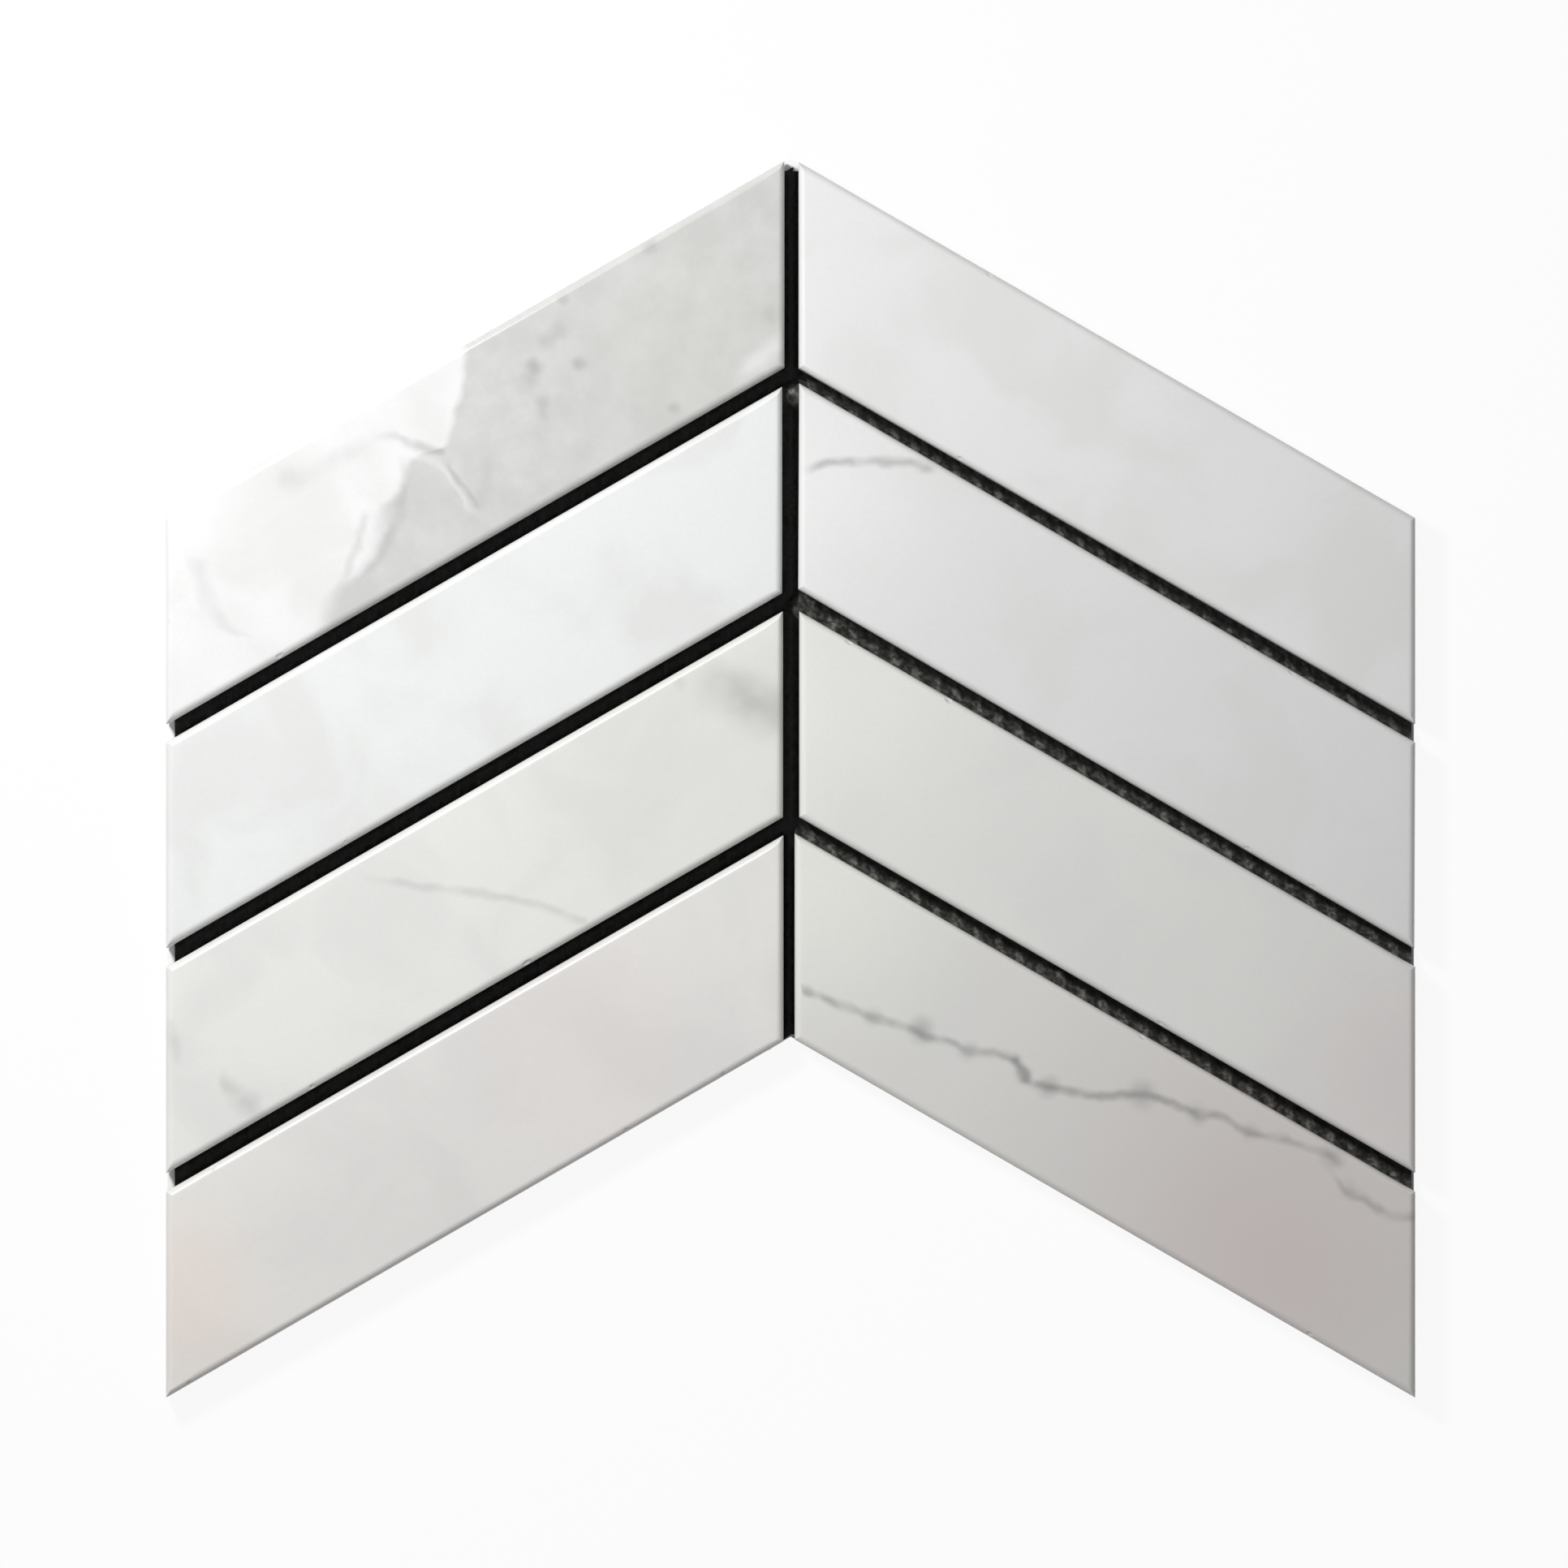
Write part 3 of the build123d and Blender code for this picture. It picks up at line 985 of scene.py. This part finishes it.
class MOSAIC_OT_net(bpy.types.Operator):
    """Finishes the strands of the CAD's net"""

    bl_idname = "mosaic.net"
    bl_label = "Net"

    def execute(self, context):
        fibre = coated_glass_fibre(context.scene.mosaic_backing)
        for node in ("net_weft_strands", "net_warp_strands"):
            dress(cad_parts[node], fibre)
        return {"FINISHED"}


class MOSAIC_OT_adhesive(bpy.types.Operator):
    """Makes the coat behind the net and lays the adhesive between the chips"""

    bl_idname = "mosaic.adhesive"
    bl_label = "Adhesive"

    def execute(self, context):
        settings = context.scene.mosaic_backing
        adhesive = cured_adhesive(settings)
        finish_piece(coat_skin(settings), adhesive, ["adhesive_coat"])
        finish_piece(joint_bed(settings), adhesive, [])
        return {"FINISHED"}


def seen_rays(tree):
    """1 for a ray from the camera, off a glossy surface or through glass, which sees the white ground."""
    rays = new_node(tree, "LightPath", {}).outputs
    seen = new_node(tree, "Math", [rays["Is Camera Ray"], rays["Is Glossy Ray"]], operation="MAXIMUM")
    return new_node(tree, "Math", [seen, rays["Is Transmission Ray"]], operation="MAXIMUM")


def clear_of_sheet(tree):
    """1 where the ground lies clear of the sheet, 0 where the sheet lies over it."""
    top, foot = (foot_corners(f"marble_chip_left_{row}") for row in (ROWS[0], ROWS[-1]))
    rise = (top[1, 1].y - top[-1, 1].y) / (top[1, 1].x - top[-1, 1].x)
    axes = new_node(tree, "SeparateXYZ", {"Vector": new_node(tree, "TexCoord", {}).outputs["Object"]})
    aside = new_node(tree, "Math", [axes.outputs["X"]], operation="ABSOLUTE")
    level = new_node(tree, "Math", [aside, rise, axes.outputs["Y"]], operation="MULTIPLY_ADD")
    beside = new_node(tree, "Math", [aside, HALF_WIDTH], operation="GREATER_THAN")
    above = new_node(tree, "Math", [level, top[-1, 1].y + rise * HALF_WIDTH], operation="GREATER_THAN")
    below = new_node(tree, "Math", [level, foot[-1, -1].y + rise * HALF_WIDTH], operation="LESS_THAN")
    clear = new_node(tree, "Math", [beside, above], operation="MAXIMUM")
    return new_node(tree, "Math", [clear, below], operation="MAXIMUM")


# Width of the floor in metres, and how far it lies under the sheet, clear of its back
FLOOR_WIDTH = 30
FLOOR_DROP = 0.02 * MM


class MOSAIC_OT_stage(bpy.types.Operator):
    """Lays the white floor and sets the lamps and the camera"""

    bl_idname = "mosaic.stage"
    bl_label = "Floor, lamps and camera"

    def execute(self, context):
        settings = context.scene.mosaic_stage
        self.lay_floor(settings)
        self.light(context.scene, settings)
        self.aim(context.scene, settings)
        context.scene.view_settings.view_transform = "Standard"
        return {"FINISHED"}

    def lay_floor(self, settings):
        """A pale floor that the camera sees as white around the sheet, with the sheet's shadow on it."""
        start_clean()
        bpy.ops.mesh.primitive_plane_add(size=FLOOR_WIDTH, location=(0, 0, -FLOOR_DROP))
        floor = name_piece("studio_floor")
        rest_at_origin(floor)
        material, tree = new_material("white_paper")
        share = new_node(tree, "Math", [seen_rays(tree), settings.floor_white], operation="MULTIPLY")
        share = new_node(tree, "Math", [share, clear_of_sheet(tree)], operation="MULTIPLY")
        paper = new_node(tree, "BsdfDiffuse", {"Color": linear("#F2F2F2")})
        white = new_node(tree, "Emission", {"Strength": 1.0})
        blend = new_node(tree, "MixShader", [share, paper, white])
        new_node(tree, "OutputMaterial", {"Surface": blend})
        dress(floor, material)

    def light(self, scene, settings):
        """One soft lamp from the upper left, which falls off across the sheet, and even light all round."""
        reach = settings.key_reach
        place = Vector((reach * math.cos(settings.key_bearing), reach * math.sin(settings.key_bearing),
                        settings.key_height))
        bpy.ops.object.light_add(type="AREA", location=place)
        key = name_piece("key_lamp")
        key.data.shape = "DISK"
        key.data.size = settings.key_size
        key.data.energy = settings.key_power
        key.rotation_euler = (-place).to_track_quat("-Z", "Y").to_euler()
        key.visible_camera = False
        world = bpy.data.worlds.new("even_light")
        world.use_nodes = True
        tree = world.node_tree
        tree.nodes.clear()
        strength = new_node(tree, "MapRange", [seen_rays(tree), 0.0, 1.0, settings.fill, 1.0])
        sky = new_node(tree, "Background", {"Color": (1, 1, 1, 1), "Strength": strength})
        new_node(tree, "OutputWorld", {"Surface": sky})
        scene.world = world

    def aim(self, scene, settings):
        """Camera straight above, with a long lens."""
        bpy.ops.object.camera_add(
            location=(settings.view_x, settings.view_y, FACE_HEIGHT + settings.camera_height),
            rotation=(0, 0, 0))
        camera = name_piece("view_from_above")
        camera.data.sensor_width = 36
        camera.data.lens = camera.data.sensor_width * settings.camera_height / settings.view_width
        camera.data.clip_start = 0.1
        camera.data.clip_end = 100
        scene.camera = camera


class MOSAIC_PT_sheet(bpy.types.Panel):
    """Lists the sheet's pieces and their settings"""

    bl_idname = "MOSAIC_PT_sheet"
    bl_label = "Marble mosaic sheet"
    bl_space_type = "VIEW_3D"
    bl_region_type = "UI"
    bl_category = "Mosaic"

    def draw(self, context):
        scene = context.scene
        groups = (
            (scene.mosaic_chips, [MOSAIC_OT_marble_chips]),
            (scene.mosaic_backing, [MOSAIC_OT_net, MOSAIC_OT_adhesive]),
            (scene.mosaic_stage, [MOSAIC_OT_stage]),
        )
        for settings, operators in groups:
            box = self.layout.box()
            for name in settings.__annotations__:
                box.prop(settings, name)
            for operator in operators:
                box.operator(operator.bl_idname)


GROUPS = {"mosaic_chips": ChipSettings, "mosaic_backing": BackingSettings, "mosaic_stage": StageSettings}
OPERATORS = (MOSAIC_OT_marble_chips, MOSAIC_OT_net, MOSAIC_OT_adhesive, MOSAIC_OT_stage)
CLASSES = (*GROUPS.values(), *OPERATORS, MOSAIC_PT_sheet)


def register():
    """Registers the classes and hangs the settings on the scene."""
    for part in CLASSES:
        bpy.utils.register_class(part)
    for name, group in GROUPS.items():
        setattr(bpy.types.Scene, name, bpy.props.PointerProperty(type=group))


def unregister():
    """Takes the settings off the scene and the classes out again."""
    for name in GROUPS:
        delattr(bpy.types.Scene, name)
    for part in reversed(CLASSES):
        bpy.utils.unregister_class(part)


def main():
    """Makes the whole sheet."""
    register()
    bpy.ops.mosaic.marble_chips()
    bpy.ops.mosaic.net()
    bpy.ops.mosaic.adhesive()
    bpy.ops.mosaic.stage()


if __name__ == "__main__":
    main()
